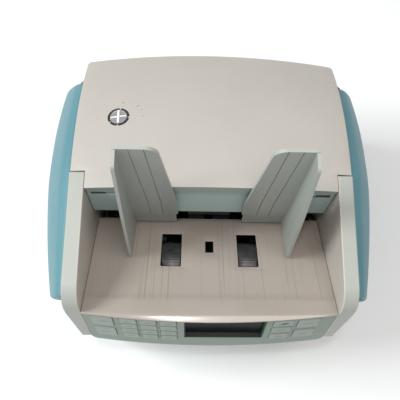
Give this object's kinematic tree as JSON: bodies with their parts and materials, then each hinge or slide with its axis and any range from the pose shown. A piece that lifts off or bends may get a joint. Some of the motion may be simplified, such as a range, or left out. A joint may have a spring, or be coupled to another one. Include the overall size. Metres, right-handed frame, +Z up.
{
  "type": "banknote counter",
  "caption": "Desktop banknote counter: hopper with sliding note guides, sloping feed plate with rollers, key panel, hinged rear cover and a stacker bay below.",
  "frame": {"origin": "centre of the machine's bounding box, on the surface it stands on", "axes": "+Z up, front with the key panel towards -Y, +X to the right seen from the front"},
  "size_m": [0.2928, 0.2618, 0.2915],
  "materials": {
    "rubber": "matt black rubber",
    "steel": "brushed",
    "case_grey": "fine texture",
    "cover_grey": "fine texture",
    "side_teal": "satin, fine texture",
    "panel_grey": "fine texture",
    "hopper_green": "satin",
    "plate_grey": "satin, worn by notes",
    "guide_green": "satin",
    "key_grey": "satin",
    "window_dark": "gloss",
    "silver": "satin chrome",
    "black_plastic": "matt",
    "board_green": "solder mask",
    "belt": "toothed rubber",
    "wheel_plastic": "natural nylon",
    "bronze": "sintered bronze"
  },
  "bodies": {
    "case": {"base_tray": "case_grey", "rubber_feet": "rubber", "cheek_left": "case_grey", "cheek_right": "case_grey", "side_panel_left": "side_teal", "side_panel_right": "side_teal", "chassis_left": "steel", "chassis_right": "steel", "shaft_bearings": "bronze", "rear_housing": "case_grey", "hinge_pins": "steel", "power_inlet": "black_plastic", "stacker_wall": "hopper_green", "stacker_tray": "case_grey", "feed_plate": "plate_grey", "control_panel": "panel_grey", "display_window": "window_dark", "keypad_board": "board_green", "drive_belts": "belt", "motor_body": "steel", "main_board": "board_green", "power_supply": "steel", "case_screws": "steel"},
    "power_switch": {"power_switch": "black_plastic"},
    "pickup_roller": {"pickup_shaft": "steel", "pickup_rollers": "rubber"},
    "feed_roller": {"feed_shaft": "steel", "feed_rollers": "rubber"},
    "transport_roller": {"transport_shaft": "steel", "transport_rollers": "rubber"},
    "stacker": {"stacker_shaft": "steel", "stacker_wheels": "wheel_plastic"},
    "motor_pulley": {"motor_pulley": "steel"},
    "cover": {"rear_cover": "cover_grey", "hopper_back_wall": "hopper_green"},
    "guide_left": {"guide_left": "guide_green"},
    "guide_right": {"guide_right": "guide_green"},
    "guide_pinion": {"guide_pinion": "wheel_plastic"},
    "retard_unit": {"retard_bracket": "black_plastic", "retard_roller": "rubber"},
    "adjust_knob": {"adjust_knob": "silver"},
    "key_left_1": {"key_left_1": "key_grey"},
    "key_right_1": {"key_right_1": "key_grey"},
    "key_left_2": {"key_left_2": "key_grey"},
    "key_right_2": {"key_right_2": "key_grey"},
    "key_number_1": {"key_number_1": "key_grey"},
    "key_number_2": {"key_number_2": "key_grey"},
    "key_number_3": {"key_number_3": "key_grey"},
    "key_number_4": {"key_number_4": "key_grey"},
    "key_number_5": {"key_number_5": "key_grey"},
    "key_number_6": {"key_number_6": "key_grey"},
    "key_number_7": {"key_number_7": "key_grey"},
    "key_number_8": {"key_number_8": "key_grey"},
    "key_number_9": {"key_number_9": "key_grey"},
    "key_number_10": {"key_number_10": "key_grey"},
    "key_number_11": {"key_number_11": "key_grey"},
    "key_number_12": {"key_number_12": "key_grey"},
    "key_function_1": {"key_function_1": "key_grey"},
    "key_function_2": {"key_function_2": "key_grey"},
    "key_function_3": {"key_function_3": "key_grey"}
  },
  "joints": [
    {"name": "cover_hinge", "type": "hinge", "parent": "case", "child": "cover", "pos_m": [0, 0.1204, 0.1465], "axis": [-1, 0, 0], "range_deg": [0, 60]},
    {"name": "guide_left_slide", "type": "slide", "parent": "cover", "child": "guide_left", "axis": [-1, 0, 0], "range_m": [-0.016, 0.024]},
    {"name": "guide_right_slide", "type": "slide", "parent": "cover", "child": "guide_right", "axis": [1, 0, 0], "range_m": [-0.016, 0.024]},
    {"name": "guide_pinion_spin", "type": "hinge", "parent": "cover", "child": "guide_pinion", "pos_m": [0, 0.0049, 0.197], "axis": [0, 0, 1], "range_deg": [-232, 156]},
    {"name": "knob_turn", "type": "hinge", "parent": "cover", "child": "adjust_knob", "pos_m": [-0.078, 0.0519, 0.20561], "axis": [-0.1083, 0.2706, 0.9566], "range_deg": [0, 270]},
    {"name": "retard_tilt", "type": "hinge", "parent": "cover", "child": "retard_unit", "pos_m": [0, 0.0469, 0.156], "axis": [-1, 0, 0], "range_deg": [0, 1.5]},
    {"name": "feed_spin", "type": "hinge", "parent": "case", "child": "feed_roller", "pos_m": [0, -0.0163, 0.1066], "axis": [1, 0, 0], "continuous": true},
    {"name": "pickup_spin", "type": "hinge", "parent": "case", "child": "pickup_roller", "pos_m": [0, -0.0618, 0.1357], "axis": [1, 0, 0], "continuous": true},
    {"name": "transport_spin", "type": "hinge", "parent": "case", "child": "transport_roller", "pos_m": [0, 0.0189, 0.082], "axis": [1, 0, 0], "continuous": true},
    {"name": "stacker_spin", "type": "hinge", "parent": "case", "child": "stacker", "pos_m": [0, -0.0611, 0.065], "axis": [1, 0, 0], "continuous": true},
    {"name": "motor_spin", "type": "hinge", "parent": "case", "child": "motor_pulley", "pos_m": [0, 0.0709, 0.062], "axis": [1, 0, 0], "continuous": true},
    {"name": "switch_rock", "type": "hinge", "parent": "case", "child": "power_switch", "pos_m": [0.083, 0.1234, 0.038], "axis": [1, 0, 0], "range_deg": [-7, 7]},
    {"name": "key_function_1_press", "type": "slide", "parent": "case", "child": "key_function_1", "axis": [-0.0711, 0.9607, -0.2682], "range_m": [0, 0.001], "stiffness_N_per_m": 250, "springref_m": -0.0004},
    {"name": "key_function_2_press", "type": "slide", "parent": "case", "child": "key_function_2", "axis": [-0.0711, 0.9607, -0.2682], "range_m": [0, 0.001], "stiffness_N_per_m": 250, "springref_m": -0.0004},
    {"name": "key_function_3_press", "type": "slide", "parent": "case", "child": "key_function_3", "axis": [-0.0711, 0.9607, -0.2682], "range_m": [0, 0.001], "stiffness_N_per_m": 250, "springref_m": -0.0004},
    {"name": "key_left_1_press", "type": "slide", "parent": "case", "child": "key_left_1", "axis": [0.1033, 0.958, -0.2675], "range_m": [0, 0.001], "stiffness_N_per_m": 250, "springref_m": -0.0004},
    {"name": "key_left_2_press", "type": "slide", "parent": "case", "child": "key_left_2", "axis": [0.1033, 0.958, -0.2675], "range_m": [0, 0.001], "stiffness_N_per_m": 250, "springref_m": -0.0004},
    {"name": "key_number_1_press", "type": "slide", "parent": "case", "child": "key_number_1", "axis": [0.0786, 0.9602, -0.2681], "range_m": [0, 0.001], "stiffness_N_per_m": 250, "springref_m": -0.0004},
    {"name": "key_number_10_press", "type": "slide", "parent": "case", "child": "key_number_10", "axis": [0.0786, 0.9602, -0.2681], "range_m": [0, 0.001], "stiffness_N_per_m": 250, "springref_m": -0.0004},
    {"name": "key_number_11_press", "type": "slide", "parent": "case", "child": "key_number_11", "axis": [0.0595, 0.9615, -0.2684], "range_m": [0, 0.001], "stiffness_N_per_m": 250, "springref_m": -0.0004},
    {"name": "key_number_12_press", "type": "slide", "parent": "case", "child": "key_number_12", "axis": [0.0403, 0.9624, -0.2687], "range_m": [0, 0.001], "stiffness_N_per_m": 250, "springref_m": -0.0004},
    {"name": "key_number_2_press", "type": "slide", "parent": "case", "child": "key_number_2", "axis": [0.0595, 0.9615, -0.2684], "range_m": [0, 0.001], "stiffness_N_per_m": 250, "springref_m": -0.0004},
    {"name": "key_number_3_press", "type": "slide", "parent": "case", "child": "key_number_3", "axis": [0.0403, 0.9624, -0.2687], "range_m": [0, 0.001], "stiffness_N_per_m": 250, "springref_m": -0.0004},
    {"name": "key_number_4_press", "type": "slide", "parent": "case", "child": "key_number_4", "axis": [0.0786, 0.9602, -0.2681], "range_m": [0, 0.001], "stiffness_N_per_m": 250, "springref_m": -0.0004},
    {"name": "key_number_5_press", "type": "slide", "parent": "case", "child": "key_number_5", "axis": [0.0595, 0.9615, -0.2684], "range_m": [0, 0.001], "stiffness_N_per_m": 250, "springref_m": -0.0004},
    {"name": "key_number_6_press", "type": "slide", "parent": "case", "child": "key_number_6", "axis": [0.0403, 0.9624, -0.2687], "range_m": [0, 0.001], "stiffness_N_per_m": 250, "springref_m": -0.0004},
    {"name": "key_number_7_press", "type": "slide", "parent": "case", "child": "key_number_7", "axis": [0.0786, 0.9602, -0.2681], "range_m": [0, 0.001], "stiffness_N_per_m": 250, "springref_m": -0.0004},
    {"name": "key_number_8_press", "type": "slide", "parent": "case", "child": "key_number_8", "axis": [0.0595, 0.9615, -0.2684], "range_m": [0, 0.001], "stiffness_N_per_m": 250, "springref_m": -0.0004},
    {"name": "key_number_9_press", "type": "slide", "parent": "case", "child": "key_number_9", "axis": [0.0403, 0.9624, -0.2687], "range_m": [0, 0.001], "stiffness_N_per_m": 250, "springref_m": -0.0004},
    {"name": "key_right_1_press", "type": "slide", "parent": "case", "child": "key_right_1", "axis": [-0.0956, 0.9588, -0.2677], "range_m": [0, 0.001], "stiffness_N_per_m": 250, "springref_m": -0.0004},
    {"name": "key_right_2_press", "type": "slide", "parent": "case", "child": "key_right_2", "axis": [-0.0956, 0.9588, -0.2677], "range_m": [0, 0.001], "stiffness_N_per_m": 250, "springref_m": -0.0004}
  ],
  "couplings": [
    {"joint": "guide_right_slide", "follows": "guide_left_slide", "ratio": 1},
    {"joint": "guide_pinion_spin", "follows": "guide_left_slide", "rad_per_m": -166.67},
    {"joint": "retard_tilt", "follows": "knob_turn", "ratio": 0.005556},
    {"joint": "pickup_spin", "follows": "feed_spin", "ratio": 1},
    {"joint": "transport_spin", "follows": "feed_spin", "ratio": 1.25},
    {"joint": "stacker_spin", "follows": "feed_spin", "ratio": 0.57143},
    {"joint": "motor_spin", "follows": "feed_spin", "ratio": 2.5}
  ]
}
